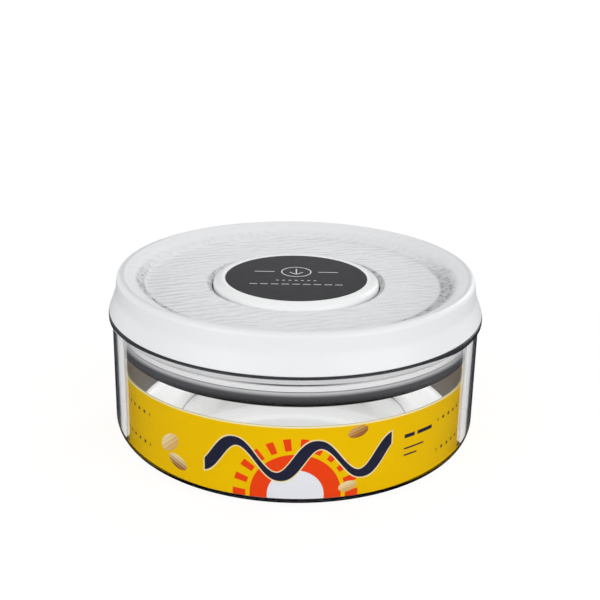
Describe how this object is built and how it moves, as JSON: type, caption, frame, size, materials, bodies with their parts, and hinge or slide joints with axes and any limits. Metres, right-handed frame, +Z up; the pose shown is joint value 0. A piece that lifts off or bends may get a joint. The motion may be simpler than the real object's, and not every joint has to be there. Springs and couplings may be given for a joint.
{
  "type": "airtight storage jar",
  "caption": "Low round clear canister with a printed sleeve inside its wall and a white press-to-seal lid: a centre button works levers that lift a plate and squeeze a gasket.",
  "frame": {"origin": "centre of the circle that the foot ring stands on, in the plane of the foot", "axes": "+Z runs up the axis that the canister, the lid and the button share; -Y faces the picture's viewer; +X is the viewer's right"},
  "size_m": [0.1556, 0.1556, 0.0704],
  "materials": {
    "clear_plastic": "clear glossy moulded plastic",
    "printed_paper": "yellow printed sleeve",
    "white_plastic": "satin white moulded plastic",
    "dark_badge": "dark grey printed disc",
    "grey_silicone": "translucent grey silicone",
    "inner_plastic": "off-white moulded plastic",
    "steel": "plain steel"
  },
  "bodies": {
    "canister": {"jar_body": "clear_plastic", "label_sleeve": "printed_paper"},
    "lid": {"lid_cover": "white_plastic", "inner_frame": "white_plastic", "gasket": "grey_silicone", "cam_barrel": "inner_plastic", "return_spring": "steel", "lever_pin_1": "steel", "lever_pin_2": "steel", "lever_pin_3": "steel", "lever_pin_4": "steel", "cover_screw_1": "steel", "cover_screw_2": "steel", "cover_screw_3": "steel", "cover_screw_4": "steel", "barrel_screw_1": "steel", "barrel_screw_2": "steel", "barrel_screw_3": "steel"},
    "button": {"push_button": "white_plastic", "button_badge": "dark_badge", "rotor_washer": "steel", "rotor_screw": "steel"},
    "rotor": {"index_rotor": "inner_plastic"},
    "lever_1": {"rocker_lever_1": "inner_plastic"},
    "lever_2": {"rocker_lever_2": "inner_plastic"},
    "lever_3": {"rocker_lever_3": "inner_plastic"},
    "lever_4": {"rocker_lever_4": "inner_plastic"},
    "plate": {"pressure_plate": "inner_plastic", "bottom_cover": "white_plastic", "lift_link_1": "inner_plastic", "lift_link_2": "inner_plastic", "lift_link_3": "inner_plastic", "lift_link_4": "inner_plastic", "link_screw_1": "steel", "link_screw_2": "steel", "link_screw_3": "steel", "link_screw_4": "steel"}
  },
  "joints": [
    {"name": "lid_lift", "type": "slide", "parent": "canister", "child": "lid", "axis": [0, 0, 1], "range_m": [0, 0.06]},
    {"name": "button_press", "type": "slide", "parent": "lid", "child": "button", "axis": [0, 0, 1], "range_m": [0, 0.009], "deforming": ["return_spring"]},
    {"name": "rotor_turn", "type": "hinge", "parent": "button", "child": "rotor", "pos_m": [0, 0, 0.054], "axis": [0, 0, 1], "range_deg": [0, 60]},
    {"name": "lever_tilt_1", "type": "hinge", "parent": "lid", "child": "lever_1", "pos_m": [0.054, 0, 0.0551], "axis": [0, 1, 0], "range_deg": [0, 29.01]},
    {"name": "lever_tilt_2", "type": "hinge", "parent": "lid", "child": "lever_2", "pos_m": [0, 0.054, 0.0551], "axis": [-1, 0, 0], "range_deg": [0, 29.01]},
    {"name": "lever_tilt_3", "type": "hinge", "parent": "lid", "child": "lever_3", "pos_m": [-0.054, 0, 0.0551], "axis": [0, -1, 0], "range_deg": [0, 29.01]},
    {"name": "lever_tilt_4", "type": "hinge", "parent": "lid", "child": "lever_4", "pos_m": [0, -0.054, 0.0551], "axis": [1, 0, 0], "range_deg": [0, 29.01]},
    {"name": "plate_lift", "type": "slide", "parent": "lid", "child": "plate", "axis": [0, 0, 1], "range_m": [-0.003, 0], "deforming": ["gasket"]}
  ],
  "couplings": [
    {"joint": "rotor_turn", "follows": "button_press", "rad_per_m": 116.36},
    {"joint": "lever_tilt_1", "follows": "button_press", "rad_per_m": 56.242},
    {"joint": "lever_tilt_2", "follows": "button_press", "rad_per_m": 56.242},
    {"joint": "lever_tilt_3", "follows": "button_press", "rad_per_m": 56.242},
    {"joint": "lever_tilt_4", "follows": "button_press", "rad_per_m": 56.242},
    {"joint": "plate_lift", "follows": "button_press", "ratio": -0.33333}
  ]
}
